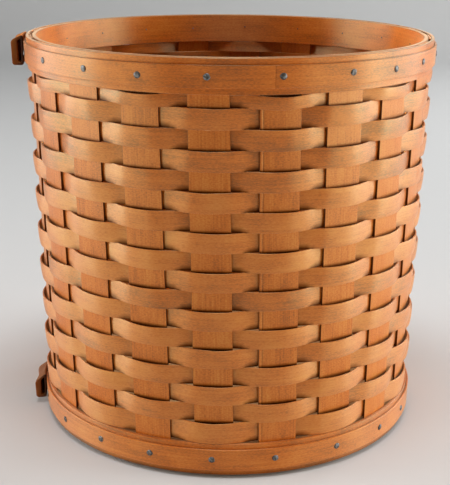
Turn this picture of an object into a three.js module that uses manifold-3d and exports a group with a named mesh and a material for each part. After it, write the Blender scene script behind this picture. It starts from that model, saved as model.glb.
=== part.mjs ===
// Round splint basket: flat uprights with woven hoops between nailed rim and base bands, a board bottom
// and two leather loops. Millimetres and degrees, +Z up, origin at the centre of the underside.
// Angles run round the axis from the front (-Y) towards +X.
import * as THREE from "three";
import { mergeVertices } from "three/addons/utils/BufferGeometryUtils.js";
import Module from "manifold-3d";

const wasm = await Module();
wasm.setup();

// Body
const HEIGHT = 270; // underside to the top of the rim bands
const WALL_RADIUS_BASE = 131.2; // outer face of the uprights at the underside
const WALL_RADIUS_RIM = 137.4; // outer face of the uprights at the rim top
const SEAT = 0.3; // clearance between pieces that lie on each other

// Uprights, in pairs because a hoop only closes over and under an even number of them
const UPRIGHT_PAIRS = 10;
const UPRIGHT_WIDTH = 25.4;
const UPRIGHT_THICKNESS = 1.4;
const UPRIGHT_FIRST_ANGLE = -5.4; // at the rim
const UPRIGHT_LEAN = 2; // drift round the wall from the rim down to the underside
const UPRIGHT_TOP_INSET = 0.5; // how far the upper end stops below the rim top
const UPRIGHT_FOOT_INSET = 0.6; // how far the lower end stops above the underside

// Weavers
const WEAVER_WIDTH = 12.2;
const WEAVER_THICKNESS = 1;
const WEAVER_GAP = 0.52; // between two rows, and between a row and a band
const BOTTOM_WEAVER_WIDTH = 13.8;
const TOP_WEAVER_LEAST_WIDTH = 3; // a last row narrower than this is left out
const WEAVER_BULGE = 1.2; // how far a weaver bows off the middle of an upright
const WEAVER_SIDE_ROOM = 1.3; // a weaver starts to cross this far past an upright's edge
const LAP_UPRIGHTS = 3; // a weaver's ends lie double past this odd number of uprights
const LAP_FIRST_UPRIGHT = 6; // the laps start here, at the back of the basket
const LAP_PLACES = 3; // the laps of following rows are staggered over this many places

// Bands
const BAND_THICKNESS = 2.2;
const OVERLAY_THICKNESS = 1.6;
const INNER_BAND_THICKNESS = 2.8;
const RIM_BAND_HEIGHT = 21.5;
const RIM_OVERLAY_HEIGHT = 13.6;
const RIM_OVERLAY_INSET = 3.8; // rim top to the top of the overlay
const BASE_BAND_HEIGHT = 22.4;
const BASE_OVERLAY_HEIGHT = 15.2;
const BASE_OVERLAY_INSET = 3.8; // underside to the bottom of the overlay
const SCARF_TIP = 0.35; // thickness left at a band's scarfed end
const SCARF_STEPS = 6;
const SCARF_END_GAP = 0.36; // along the band, at each scarfed end
const RIM_OVERLAY_END_ANGLE = 10.8; // where the outer end of the overlay shows
const RIM_BAND_END_ANGLE = 150;
const INNER_BAND_END_ANGLE = 30;
const BASE_OVERLAY_END_ANGLE = 170;
const BASE_BAND_END_ANGLE = 120;

// Bottom board
const BOARD_THICKNESS = 16;

// Nails through the bands and tacks through the loops
const NAIL_HEAD_RADIUS = 2.1;
const NAIL_HEAD_EDGE = 0.3;
const NAIL_HEAD_HEIGHT = 1;
const NAIL_SHANK = 1.4; // across the square shank
const NAIL_BITE = 8; // how far a base nail reaches into the board
const NAIL_POINT_RECESS = 0.2; // how far a rim nail stops inside the inner band
const SHANK_ROOT = 0.2; // how far a shank reaches into its head
const HEAD_SINK = 0.2; // how far a rim nail's head is pressed into the overlay
const TACK_HEAD_RADIUS = 2.4;
const TACK_HEAD_HEIGHT = 0.7;
const TACK_OFFSET = 7; // each side of a loop's middle

// Leather loops
const LOOP_ANGLE = -86;
const LOOP_WIDTH = 27;
const LOOP_BACK = 1.5; // layer on the band
const LOOP_FRONT = 1.6; // layer that stands off
const LOOP_GAP = 5.2; // clear depth between the two
const LOOP_FOLD = 1.8; // upright thickness of the top and the bottom
const LOOP_CORNER_RADIUS = 1.8;
const LOOP_OPENING_RADIUS = 0.8;
const RIM_LOOP_HEIGHT = 20.4;
const RIM_LOOP_DROP = 3.6; // how far the top slopes down to the front
const RIM_LOOP_INSET = 0.2; // rim top to the top of the loop
const BASE_LOOP_HEIGHT = 18.6;
const BASE_LOOP_DROP = 6;
const BASE_LOOP_INSET = 3; // underside to the bottom of the loop

// How finely round things are cut
const BAND_STEPS_PER_UPRIGHT = 3;
const UPRIGHT_FACETS = 3;
const NAIL_SIDES = 6;
const FOLD_STEPS = 3;

const UPRIGHT_COUNT = 2 * UPRIGHT_PAIRS;
const PITCH = 360 / UPRIGHT_COUNT;
const BAND_STEP = PITCH / BAND_STEPS_PER_UPRIGHT;
const WALL_SLOPE = (WALL_RADIUS_RIM - WALL_RADIUS_BASE) / HEIGHT;
const RIM_OVERLAY_TOP = HEIGHT - RIM_OVERLAY_INSET;
const RIM_NAIL_Z = RIM_OVERLAY_TOP - RIM_OVERLAY_HEIGHT / 2;
const BASE_NAIL_Z = BASE_OVERLAY_INSET + BASE_OVERLAY_HEIGHT / 2;

// Offsets of each layer from the outer face of the uprights
const BAND_INNER = SEAT;
const OVERLAY_INNER = BAND_INNER + BAND_THICKNESS + SEAT;
const OVERLAY_OUTER = OVERLAY_INNER + OVERLAY_THICKNESS;
const INSIDE_OF_UPRIGHTS = -UPRIGHT_THICKNESS - SEAT;
const INNER_BAND_INNER = INSIDE_OF_UPRIGHTS - INNER_BAND_THICKNESS;

const SPLINT_ROUGHNESS = 0.5;
const COLOURS = {
  upright: 0xc58850,
  weaver: 0xcb8f58,
  band: 0xd0955e,
  board: 0xd9b180,
  leather: 0x6a3c1a,
  steel: 0x8c8e90,
};

const radians = THREE.MathUtils.degToRad;
const wallRadius = (z) => WALL_RADIUS_BASE + WALL_SLOPE * z;
const arcDegrees = (length, radius) => THREE.MathUtils.radToDeg(length / radius);
const uprightAngle = (index, z) =>
  UPRIGHT_FIRST_ANGLE + PITCH * index + UPRIGHT_LEAN * (1 - z / HEIGHT);

function polar(radius, degrees, z) {
  const angle = radians(degrees);
  return new THREE.Vector3(radius * Math.sin(angle), -radius * Math.cos(angle), z);
}

// The four corners of a splint's section at one angle, from two offsets off the wall and two heights.
function section(degreesAt, inner, outer, bottom, top) {
  const corner = (offset, z) => polar(wallRadius(z) + offset, degreesAt(z), z);
  return [corner(inner, bottom), corner(outer, bottom), corner(outer, top), corner(inner, top)];
}

// A closed strip through a row of four-cornered sections, with a cap at each end.
function strip(sections) {
  const positions = sections.flat().flatMap((point) => point.toArray());
  const triangles = [];
  const quad = (a, b, c, d) => triangles.push(a, b, c, a, c, d);
  const last = (sections.length - 1) * 4;
  for (let start = 0; start < last; start += 4) {
    for (let side = 0; side < 4; side++) {
      const next = (side + 1) % 4;
      quad(start + side, start + side + 4, start + next + 4, start + next);
    }
  }
  quad(0, 1, 2, 3);
  quad(last + 3, last + 2, last + 1, last);
  const geometry = new THREE.BufferGeometry();
  geometry.setAttribute("position", new THREE.Float32BufferAttribute(positions, 3));
  geometry.setIndex(triangles);
  return geometry;
}

function solidOf(geometry) {
  const bare = geometry.clone();
  bare.deleteAttribute("normal");
  bare.deleteAttribute("uv");
  const merged = mergeVertices(bare, 1e-4);
  return new wasm.Manifold(
    new wasm.Mesh({
      numProp: 3,
      vertProperties: new Float32Array(merged.attributes.position.array),
      triVerts: new Uint32Array(merged.index.array),
    }),
  );
}

function geometryOf(solid) {
  const mesh = solid.getMesh();
  const geometry = new THREE.BufferGeometry();
  geometry.setAttribute("position", new THREE.BufferAttribute(mesh.vertProperties, 3));
  geometry.setIndex(new THREE.BufferAttribute(mesh.triVerts, 1));
  return geometry;
}

const cutAll = (geometry, tools) =>
  geometryOf(tools.reduce((solid, tool) => solid.subtract(solidOf(tool)), solidOf(geometry)));

const joinAll = (geometry, others) =>
  geometryOf(others.reduce((solid, other) => solid.add(solidOf(other)), solidOf(geometry)));

// Turns a shape made along +Z to point outwards from the axis, with its origin at the given place.
function radially(geometry, radius, degrees, z) {
  const outward = polar(1, degrees, 0);
  const along = polar(1, degrees + 90, 0);
  const place = new THREE.Matrix4().makeBasis(along, new THREE.Vector3(0, 0, 1), outward);
  return geometry.applyMatrix4(place.setPosition(polar(radius, degrees, z)));
}

// A nail or tack is an angle, a height, the radius its head sits at and the radius its point reaches.
function shankOf({ angle, z, seat, point }, clearance) {
  const width = NAIL_SHANK + 2 * clearance;
  const length = seat - point + 2 * clearance;
  const shank = new THREE.BoxGeometry(width, width, length);
  return radially(shank, (seat + point) / 2, angle, z);
}

const withShank = (head, fastener) =>
  joinAll(head, [shankOf({ ...fastener, seat: fastener.seat + SHANK_ROOT }, 0)]);

function domedNail(nail) {
  const dome = [
    new THREE.Vector2(0, 0),
    new THREE.Vector2(NAIL_HEAD_RADIUS, 0),
    new THREE.Vector2(NAIL_HEAD_RADIUS, NAIL_HEAD_EDGE),
    new THREE.Vector2(0, NAIL_HEAD_HEIGHT),
  ];
  const head = new THREE.LatheGeometry(dome, NAIL_SIDES).rotateX(Math.PI / 2);
  return withShank(radially(head, nail.seat, nail.angle, nail.z), nail);
}

// A tack's flat head, which lies in a pocket of the leather.
function tackHead(tack, clearance) {
  const radius = TACK_HEAD_RADIUS + clearance;
  const height = TACK_HEAD_HEIGHT + 2 * clearance;
  const head = new THREE.CylinderGeometry(radius, radius, height, NAIL_SIDES).rotateX(Math.PI / 2);
  return radially(head, tack.seat + TACK_HEAD_HEIGHT / 2, tack.angle, tack.z);
}

const uprightIndexes = [...Array(UPRIGHT_COUNT).keys()];

// Nail heads lie on the middles of the overlay's flats.
const overlayFlat = (z) => (wallRadius(z) + OVERLAY_OUTER) * Math.cos(radians(BAND_STEP / 2));

const rimNails = uprightIndexes.map((index) => ({
  angle: uprightAngle(index, RIM_NAIL_Z),
  z: RIM_NAIL_Z,
  seat: overlayFlat(RIM_NAIL_Z) - HEAD_SINK,
  point: wallRadius(RIM_NAIL_Z) + INNER_BAND_INNER + NAIL_POINT_RECESS,
}));

const baseNails = uprightIndexes.map((index) => ({
  angle: uprightAngle(index, BASE_NAIL_Z),
  z: BASE_NAIL_Z,
  seat: overlayFlat(BASE_NAIL_Z) + SEAT,
  point: wallRadius(BASE_NAIL_Z) + INSIDE_OF_UPRIGHTS - NAIL_BITE,
}));

// A loop's back lies on the overlay at the highest point that it touches.
const rimLoop = {
  bottom: HEIGHT - RIM_LOOP_INSET - RIM_LOOP_HEIGHT,
  height: RIM_LOOP_HEIGHT,
  drop: RIM_LOOP_DROP,
  face: wallRadius(RIM_OVERLAY_TOP) + OVERLAY_OUTER + SEAT,
  tackZ: RIM_NAIL_Z,
};
const baseLoop = {
  bottom: BASE_LOOP_INSET,
  height: BASE_LOOP_HEIGHT,
  drop: BASE_LOOP_DROP,
  face: wallRadius(BASE_OVERLAY_INSET + BASE_OVERLAY_HEIGHT) + OVERLAY_OUTER + SEAT,
  tackZ: BASE_NAIL_Z,
};

function tacksOf(loop) {
  const turn = arcDegrees(TACK_OFFSET, loop.face);
  const backFace = (loop.face + LOOP_BACK) / Math.cos(radians(turn));
  return [-turn, turn].map((side) => ({
    angle: LOOP_ANGLE + side,
    z: loop.tackZ,
    seat: backFace - TACK_HEAD_HEIGHT,
    point: wallRadius(loop.tackZ) + BAND_INNER + SEAT,
  }));
}
const rimTacks = tacksOf(rimLoop);
const baseTacks = tacksOf(baseLoop);

// One upright, curved across its width to the round of the wall.
function upright(index) {
  const bottom = UPRIGHT_FOOT_INSET;
  const top = HEIGHT - UPRIGHT_TOP_INSET;
  const sections = [];
  for (let facet = 0; facet <= UPRIGHT_FACETS; facet++) {
    const across = UPRIGHT_WIDTH * (facet / UPRIGHT_FACETS - 0.5);
    const degreesAt = (z) => uprightAngle(index, z) + arcDegrees(across, wallRadius(z));
    sections.push(section(degreesAt, -UPRIGHT_THICKNESS, 0, bottom, top));
  }
  const nails = [rimNails[index], baseNails[index]];
  return cutAll(strip(sections), nails.map((nail) => shankOf(nail, SEAT)));
}

// The rows from the bottom up: a wider first row, full rows, and what width is left under the rim.
function weaverRows() {
  const rimBottom = HEIGHT - RIM_BAND_HEIGHT;
  const rows = [];
  let bottom = BASE_BAND_HEIGHT + WEAVER_GAP;
  let width = BOTTOM_WEAVER_WIDTH;
  while (bottom + width + WEAVER_GAP <= rimBottom) {
    rows.push({ bottom, top: bottom + width });
    bottom += width + WEAVER_GAP;
    width = WEAVER_WIDTH;
  }
  const top = rimBottom - WEAVER_GAP;
  if (top - bottom >= TOP_WEAVER_LEAST_WIDTH) rows.push({ bottom, top });
  return rows;
}

// One weaver. It passes outside every other upright and inside the rest, and its ends lie double:
// the first end starts on the outside of an upright, and the last end covers it and stops behind one.
function weaver({ bottom, top }, row) {
  const middle = (bottom + top) / 2;
  const first = LAP_FIRST_UPRIGHT + 2 * (row % LAP_PLACES) + (row % 2);
  const last = first + LAP_UPRIGHTS;
  const edge = arcDegrees(UPRIGHT_WIDTH / 2 + WEAVER_SIDE_ROOM, wallRadius(middle));
  const atEdge = (UPRIGHT_THICKNESS + WEAVER_THICKNESS) / 2 + SEAT;
  const layer = WEAVER_THICKNESS + SEAT;
  const sections = [];
  const place = (index, turn, swing, shift) => {
    const angle = uprightAngle(index, middle) + turn;
    const inner = swing + shift - (UPRIGHT_THICKNESS + WEAVER_THICKNESS) / 2;
    sections.push(section(() => angle, inner, inner + WEAVER_THICKNESS, bottom, top));
  };
  for (let index = first; index <= last + UPRIGHT_COUNT; index++) {
    const outside = (index - row) % 2 === 0;
    const side = outside ? 1 : -1;
    let shift = 0;
    if (index <= last && !outside) shift = -layer;
    if (index >= first + UPRIGHT_COUNT && outside) shift = layer;
    if (index > first) place(index, -edge, side * atEdge, shift);
    place(index, 0, side * (atEdge + WEAVER_BULGE), shift);
    if (index < last + UPRIGHT_COUNT) place(index, edge, side * atEdge, shift);
  }
  return strip(sections);
}

// A bent band whose two ends are scarfed thin and lie over each other. Its outer end stops near endAngle.
// The steps are set so that each nail goes through the middle of a flat.
function band({ bottom, top, inner, thickness, endAngle }) {
  const grid = uprightAngle(0, (bottom + top) / 2) + BAND_STEP / 2;
  const end = grid + BAND_STEP * Math.round((endAngle - grid) / BAND_STEP);
  const start = end - BAND_STEP * SCARF_STEPS;
  const steps = UPRIGHT_COUNT * BAND_STEPS_PER_UPRIGHT;
  const endGap = arcDegrees(SCARF_END_GAP, wallRadius(bottom));
  const leaf = (step) => SCARF_TIP + (thickness - SEAT - 2 * SCARF_TIP) * (step / SCARF_STEPS);
  const sections = [];
  const place = (angle, from, to) =>
    sections.push(section(() => angle, inner + from, inner + to, bottom, top));
  for (let step = 0; step <= SCARF_STEPS; step++) place(start + BAND_STEP * step, 0, leaf(step));
  place(start + BAND_STEP * SCARF_STEPS + endGap, 0, thickness);
  for (let step = SCARF_STEPS + 1; step < steps; step++) place(start + BAND_STEP * step, 0, thickness);
  place(start + 360 - endGap, 0, thickness);
  for (let step = 0; step <= SCARF_STEPS; step++)
    place(start + 360 + BAND_STEP * step, leaf(step) + SEAT, thickness);
  return strip(sections);
}

const holesFor = (fasteners) => fasteners.map((fastener) => shankOf(fastener, SEAT));

const nailedBand = (shape, fasteners) => cutAll(band(shape), holesFor(fasteners));

// The board carries the base nails, which are driven into its edge.
function bottomBoard() {
  const radiusAt = (z) => wallRadius(z) + INSIDE_OF_UPRIGHTS;
  const sides = UPRIGHT_COUNT * BAND_STEPS_PER_UPRIGHT;
  const board = new THREE.CylinderGeometry(
    radiusAt(BOARD_THICKNESS),
    radiusAt(0),
    BOARD_THICKNESS,
    sides,
  );
  board.rotateX(Math.PI / 2);
  board.rotateZ(radians(uprightAngle(0, BASE_NAIL_Z) + BAND_STEP / 2));
  board.translate(0, 0, BOARD_THICKNESS / 2);
  return joinAll(board, baseNails.map(domedNail));
}

// The outline of a loop or its opening seen from the side: an upright back, a top that slopes down
// outwards, and rounded corners at the front.
function loopOutline(path, { back, front, bottom, top, slope, radius }) {
  const frontTop = top - slope * (front - back);
  path.moveTo(back, bottom);
  path.lineTo(front - radius, bottom);
  path.quadraticCurveTo(front, bottom, front, bottom + radius);
  path.lineTo(front, frontTop - radius);
  path.quadraticCurveTo(front, frontTop, front - radius, frontTop + slope * radius);
  path.lineTo(back, top);
  path.closePath();
  return path;
}

function leatherLoop(loop, tacks) {
  const depth = LOOP_BACK + LOOP_GAP + LOOP_FRONT;
  const slope = loop.drop / depth;
  const outline = loopOutline(new THREE.Shape(), {
    back: 0,
    front: depth,
    bottom: 0,
    top: loop.height,
    slope,
    radius: LOOP_CORNER_RADIUS,
  });
  const opening = loopOutline(new THREE.Path(), {
    back: LOOP_BACK,
    front: LOOP_BACK + LOOP_GAP,
    bottom: LOOP_FOLD,
    top: loop.height - slope * LOOP_BACK - LOOP_FOLD,
    slope,
    radius: LOOP_OPENING_RADIUS,
  });
  outline.holes.push(opening);
  const loopShape = new THREE.ExtrudeGeometry(outline, {
    depth: LOOP_WIDTH,
    bevelEnabled: false,
    curveSegments: FOLD_STEPS,
  });
  loopShape.translate(0, 0, -LOOP_WIDTH / 2);
  const outward = polar(1, LOOP_ANGLE, 0);
  const across = polar(1, LOOP_ANGLE - 90, 0);
  const place = new THREE.Matrix4().makeBasis(outward, new THREE.Vector3(0, 0, 1), across);
  loopShape.applyMatrix4(place.setPosition(polar(loop.face, LOOP_ANGLE, loop.bottom)));
  const pockets = tacks.map((tack) => tackHead(tack, SEAT));
  return cutAll(loopShape, [...holesFor(tacks), ...pockets]);
}

const basket = new THREE.Group();

function addPiece(name, geometry, color, roughness = SPLINT_ROUGHNESS, metalness = 0) {
  const material = new THREE.MeshStandardMaterial({ color, roughness, metalness });
  const mesh = new THREE.Mesh(geometry, material);
  mesh.name = name;
  basket.add(mesh);
}

const numbered = (name, number) => `${name}_${String(number).padStart(2, "0")}`;

uprightIndexes.forEach((index) =>
  addPiece(numbered("upright", index + 1), upright(index), COLOURS.upright),
);

// Rows are numbered from the rim down.
weaverRows()
  .reverse()
  .forEach((row, place) =>
    addPiece(numbered("weaver", place + 1), weaver(row, place + 1), COLOURS.weaver),
  );

const rimBand = { bottom: HEIGHT - RIM_BAND_HEIGHT, top: HEIGHT };
const rimOverlay = { bottom: RIM_OVERLAY_TOP - RIM_OVERLAY_HEIGHT, top: RIM_OVERLAY_TOP };
const baseBand = { bottom: 0, top: BASE_BAND_HEIGHT };
const baseOverlay = { bottom: BASE_OVERLAY_INSET, top: BASE_OVERLAY_INSET + BASE_OVERLAY_HEIGHT };
const outerLayer = { inner: BAND_INNER, thickness: BAND_THICKNESS };
const overlayLayer = { inner: OVERLAY_INNER, thickness: OVERLAY_THICKNESS };
const innerLayer = { inner: INNER_BAND_INNER, thickness: INNER_BAND_THICKNESS };
const rimFasteners = [...rimNails, ...rimTacks];
const rimOverlayBand = band({ ...rimOverlay, ...overlayLayer, endAngle: RIM_OVERLAY_END_ANGLE });
const baseFasteners = [...baseNails, ...baseTacks];

const addBand = (name, height, layer, endAngle, fasteners) =>
  addPiece(name, nailedBand({ ...height, ...layer, endAngle }, fasteners), COLOURS.band);

addBand("rim_outer_band", rimBand, outerLayer, RIM_BAND_END_ANGLE, rimFasteners);
// The rim overlay carries the rim nails.
addPiece(
  "rim_overlay_band",
  joinAll(cutAll(rimOverlayBand, holesFor(rimTacks)), rimNails.map(domedNail)),
  COLOURS.band,
);
addBand("rim_inner_band", rimBand, innerLayer, INNER_BAND_END_ANGLE, rimNails);
addBand("base_outer_band", baseBand, outerLayer, BASE_BAND_END_ANGLE, baseFasteners);
addBand("base_overlay_band", baseOverlay, overlayLayer, BASE_OVERLAY_END_ANGLE, baseFasteners);
addPiece("bottom_board", bottomBoard(), COLOURS.board, 0.6);

addPiece("rim_leather_loop", leatherLoop(rimLoop, rimTacks), COLOURS.leather, 0.7);
addPiece("base_leather_loop", leatherLoop(baseLoop, baseTacks), COLOURS.leather, 0.7);
const allTacks = { rim_loop_tack: rimTacks, base_loop_tack: baseTacks };
for (const [name, tacks] of Object.entries(allTacks)) {
  tacks.forEach((tack, place) => {
    const geometry = withShank(tackHead(tack, 0), tack);
    addPiece(numbered(name, place + 1), geometry, COLOURS.steel, 0.4, 1);
  });
}

export default basket;
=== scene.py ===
import random
from math import cos, pi, radians, sin, tau

import bmesh
import bpy
from bpy.props import FloatProperty, FloatVectorProperty, IntProperty, PointerProperty
from bpy.types import Operator, Panel, PropertyGroup
from mathutils import Matrix, Vector, noise


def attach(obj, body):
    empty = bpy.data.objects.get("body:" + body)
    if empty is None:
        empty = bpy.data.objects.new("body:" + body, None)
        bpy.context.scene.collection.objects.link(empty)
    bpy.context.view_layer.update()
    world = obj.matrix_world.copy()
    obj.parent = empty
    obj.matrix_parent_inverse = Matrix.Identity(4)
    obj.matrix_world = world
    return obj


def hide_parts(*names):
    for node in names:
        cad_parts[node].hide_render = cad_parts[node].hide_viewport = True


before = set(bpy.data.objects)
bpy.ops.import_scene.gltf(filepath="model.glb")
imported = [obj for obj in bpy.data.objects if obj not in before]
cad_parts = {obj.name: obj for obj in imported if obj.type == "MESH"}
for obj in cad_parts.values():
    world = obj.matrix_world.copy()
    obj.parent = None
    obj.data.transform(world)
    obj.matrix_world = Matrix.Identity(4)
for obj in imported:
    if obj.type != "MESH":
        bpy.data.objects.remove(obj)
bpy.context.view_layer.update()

bl_info = {
    "name": "Canister Basket",
    "version": (1, 0, 0),
    "blender": (4, 5, 0),
    "location": "3D View > Sidebar > Basket",
    "description": "Builds a round basket of woven splints with nailed bands and leather loops",
    "category": "Add Mesh",
}

MILLIMETRE = 0.001
# Lengths in metres that differ by less than this count as equal
TOLERANCE = 1e-6


def linear_from_hex(text):
    """A linear colour with full alpha from an sRGB hex value."""
    channels = [int(text[place : place + 2], 16) / 255 for place in (0, 2, 4)]
    linear = [c / 12.92 if c <= 0.04045 else ((c + 0.055) / 1.055) ** 2.4 for c in channels]
    return (*linear, 1.0)


def millimetres(name, description, length):
    return FloatProperty(
        name=name, description=description, default=length * MILLIMETRE, precision=5, unit="LENGTH"
    )


def degrees(name, description, turn):
    return FloatProperty(name=name, description=description, default=radians(turn), subtype="ANGLE")


def hex_colour(name, description, text):
    return FloatVectorProperty(
        name=name, description=description, default=linear_from_hex(text), size=4, subtype="COLOR"
    )


class BasketWall(PropertyGroup):
    """The round wall that the uprights stand in."""

    height: millimetres("Height", "Underside to the top of the rim bands", 270)
    base_radius: millimetres("Base Radius", "Outer face of the uprights at the underside", 131.2)
    rim_radius: millimetres("Rim Radius", "Outer face of the uprights at the rim top", 137.4)
    clearance: millimetres("Clearance", "Room between pieces that lie on each other", 0.3)


class BasketUprights(PropertyGroup):
    """The standing splints."""

    count: IntProperty(name="Count", description="Uprights round the wall, an even number", default=20)
    width: millimetres("Width", "Across an upright", 25.4)
    thickness: millimetres("Thickness", "Of an upright", 1.4)
    first_angle: degrees("First Angle", "Place of the first upright at the rim", -5.4)
    lean: degrees("Lean", "Drift of an upright round the wall from rim to underside", 2)
    top_inset: millimetres("Top Inset", "How far an upright stops below the rim top", 0.5)
    foot_inset: millimetres("Foot Inset", "How far an upright stops above the underside", 0.6)


class BasketWeavers(PropertyGroup):
    """The splints that are woven round the uprights, one to a row."""

    width: millimetres("Width", "Across a weaver", 12.2)
    swell: millimetres("Swell", "How much wider than its row a weaver has swollen", 0.7)
    thickness: millimetres("Thickness", "Of a weaver", 1)
    gap: millimetres("Gap", "Between two rows, and between a row and a band", 0.52)
    bottom_width: millimetres("Bottom Width", "Across the lowest weaver", 13.8)
    least_top_width: millimetres("Least Top Width", "A narrower last row is left out", 3)
    bulge: millimetres("Bulge", "How far a weaver bows off the outside of an upright", 1.1)
    hollow: millimetres("Hollow", "How far a weaver bows off the inside of an upright", 0.6)
    sag: millimetres("Sag", "How far a weaver drops where it passes outside an upright", 0.4)
    cup: millimetres("Cup", "Rise of the middle of a weaver over its edges", 0.35)
    top_lean: millimetres("Top Lean", "How far the upper edge stands out over an upright", 0.8)
    lap_uprights: IntProperty(name="Lap", description="Uprights past which the ends lie double", default=3)
    lap_first: IntProperty(name="First Lap", description="Upright where the first lap starts", default=6)
    lap_places: IntProperty(
        name="Lap Places", description="Places that the laps are spread over", default=3
    )


class BasketBands(PropertyGroup):
    """The bent bands of the rim and the base."""

    outer_thickness: millimetres("Outer Thickness", "Of a wide outer band", 2.2)
    overlay_thickness: millimetres("Overlay Thickness", "Of a narrow overlay band", 1.4)
    inner_thickness: millimetres("Inner Thickness", "Of the band inside the rim", 2.8)
    rim_height: millimetres("Rim Height", "Across the wide rim bands", 21.5)
    rim_overlay_height: millimetres("Rim Overlay Height", "Across the rim overlay", 13.6)
    rim_overlay_inset: millimetres("Rim Overlay Inset", "Rim top to the top of the overlay", 3.8)
    base_height: millimetres("Base Height", "Across the wide base band", 22.4)
    base_overlay_height: millimetres("Base Overlay Height", "Across the base overlay", 15.2)
    base_overlay_inset: millimetres("Base Overlay Inset", "Underside to the overlay", 3.8)
    scarf_turn: degrees("Scarf", "How far round the wall a band's ends lie double", 36)
    scarf_tip: millimetres("Scarf Tip", "Thickness left at a scarfed end", 0.35)
    scarf_gap: millimetres("Scarf Gap", "Along the band, at each scarfed end", 0.36)
    rim_overlay_end: degrees("Rim Overlay End", "Where the overlay's outer end shows", 10.8)
    rim_outer_end: degrees("Rim Outer End", "Where the wide rim band's outer end shows", 150)
    rim_inner_end: degrees("Rim Inner End", "Where the inner band's outer end lies", 30)
    base_overlay_end: degrees("Base Overlay End", "Where the overlay's outer end shows", 170)
    base_outer_end: degrees("Base Outer End", "Where the wide base band's outer end shows", 120)


class BasketBottom(PropertyGroup):
    """The board that closes the bottom."""

    thickness: millimetres("Thickness", "Of the board", 16)
    rounding: millimetres("Rounding", "Of the board's two round edges", 0.8)


class BasketNails(PropertyGroup):
    """The nails of the bands and the tacks of the loops."""

    head_radius: millimetres("Head Radius", "Of a nail", 2.1)
    head_height: millimetres("Head Height", "Of a nail's dome", 0.9)
    shank: millimetres("Shank", "Across a square shank", 1.4)
    point: millimetres("Point", "How far a rim nail stands out of the inner band", 0.4)
    base_bite: millimetres("Base Bite", "How far a base nail reaches into the board", 8)
    tack_radius: millimetres("Tack Radius", "Of a tack's head", 2.4)
    tack_height: millimetres("Tack Height", "Of a tack's head", 0.7)
    tack_offset: millimetres("Tack Offset", "From a loop's middle to each tack", 7)


class BasketLoops(PropertyGroup):
    """The two leather loops."""

    angle: degrees("Angle", "Place of the loops round the wall", -86)
    width: millimetres("Width", "Across a loop", 27)
    back: millimetres("Back", "Thickness of the layer on the band", 1.5)
    gap: millimetres("Gap", "Clear depth of the opening", 2.6)
    front: millimetres("Front", "Thickness of the double layer that stands off", 4.2)
    fold: millimetres("Fold", "Upright thickness of the top and the bottom", 2)
    outer_rounding: millimetres("Outer Rounding", "Of the folds", 1.8)
    opening_rounding: millimetres("Opening Rounding", "Of the corners of the opening", 0.8)
    edge_rounding: millimetres("Edge Rounding", "Of the burnished edges", 0.45)
    pinch: millimetres("Pinch", "How far the middle of the front is pressed in", 1.8)
    rim_height: millimetres("Rim Loop Height", "Of the upper loop", 20.4)
    rim_drop: millimetres("Rim Loop Drop", "How far the upper loop's top slopes down", 3.6)
    rim_inset: millimetres("Rim Loop Inset", "Rim top to the top of the upper loop", 0.2)
    base_height: millimetres("Base Loop Height", "Of the lower loop", 18.6)
    base_drop: millimetres("Base Loop Drop", "How far the lower loop's top slopes down", 6)
    base_inset: millimetres("Base Loop Inset", "Underside to the bottom of the lower loop", 3)


class BasketFinishes(PropertyGroup):
    """The colours of the materials."""

    splint_pale: hex_colour("Splint Pale", "Pale wood between the grain lines", "D07C2C")
    splint_honey: hex_colour("Splint Honey", "Main colour of the varnished splints", "C46006")
    splint_dark: hex_colour("Splint Dark", "Grain lines and flecks", "8C3E04")
    # Painted shade: the colour that the slots, the inside of the weave, the uprights' long edges, the rim
    # bands' upper edges and the foot of the base are darkened towards
    splint_slot: hex_colour("Splint Slot", "Stain in the slots of the weave", "1C0A02")
    board_pale: hex_colour("Board Pale", "Pale wood of the bottom board", "D9AE79")
    board_dark: hex_colour("Board Dark", "Grain lines of the bottom board", "A9743F")
    leather: hex_colour("Leather", "Face of the leather", "A85C12")
    leather_worn: hex_colour("Worn Leather", "Rubbed places of the leather", "BE742C")
    # Burnished edges, with painted shade that deepens towards the wall; also the colour that a whole loop
    # is darkened towards
    leather_burnish_and_shade: hex_colour("Leather Edge", "Burnished edges of the leather", "200A00")
    steel: hex_colour("Steel", "Bare dull steel", "86888A")
    steel_stain: hex_colour("Steel Stain", "Darkened spots on the steel", "55514C")
    floor: hex_colour("Floor", "Paper that the basket stands on", "D0D1D1")


def wall_radius(height):
    """Radius of the uprights' outer face at a height."""
    wall = bpy.context.scene.basket_wall
    return wall.base_radius + (wall.rim_radius - wall.base_radius) * height / wall.height


def upright_angle(index, height):
    """Angle of the middle of an upright at a height. Angles go from the front towards +X."""
    scene = bpy.context.scene
    uprights = scene.basket_uprights
    drift = uprights.lean * (1 - height / scene.basket_wall.height)
    return uprights.first_angle + tau / uprights.count * index + drift


def at_wall(radius, angle, height):
    return Vector((radius * sin(angle), -radius * cos(angle), height))


def runs_along(edge, axis):
    """True for an edge that lies within about 8 degrees of an axis."""
    line = edge.verts[1].co - edge.verts[0].co
    return abs(line[axis]) > 0.99 * line.length


def is_corner(edge):
    """True where the two faces of an edge turn by more than a radian."""
    return edge.calc_face_angle(0) > 1


def round_off(shape, corners, rounding, segments, affect="EDGES"):
    bmesh.ops.bevel(
        shape, geom=corners, offset=rounding, segments=segments, profile=0.5, affect=affect, material=-1
    )


def pulled_verts(result):
    """The vertices that an extrusion has made."""
    return [item for item in result["geom"] if isinstance(item, bmesh.types.BMVert)]


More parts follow.
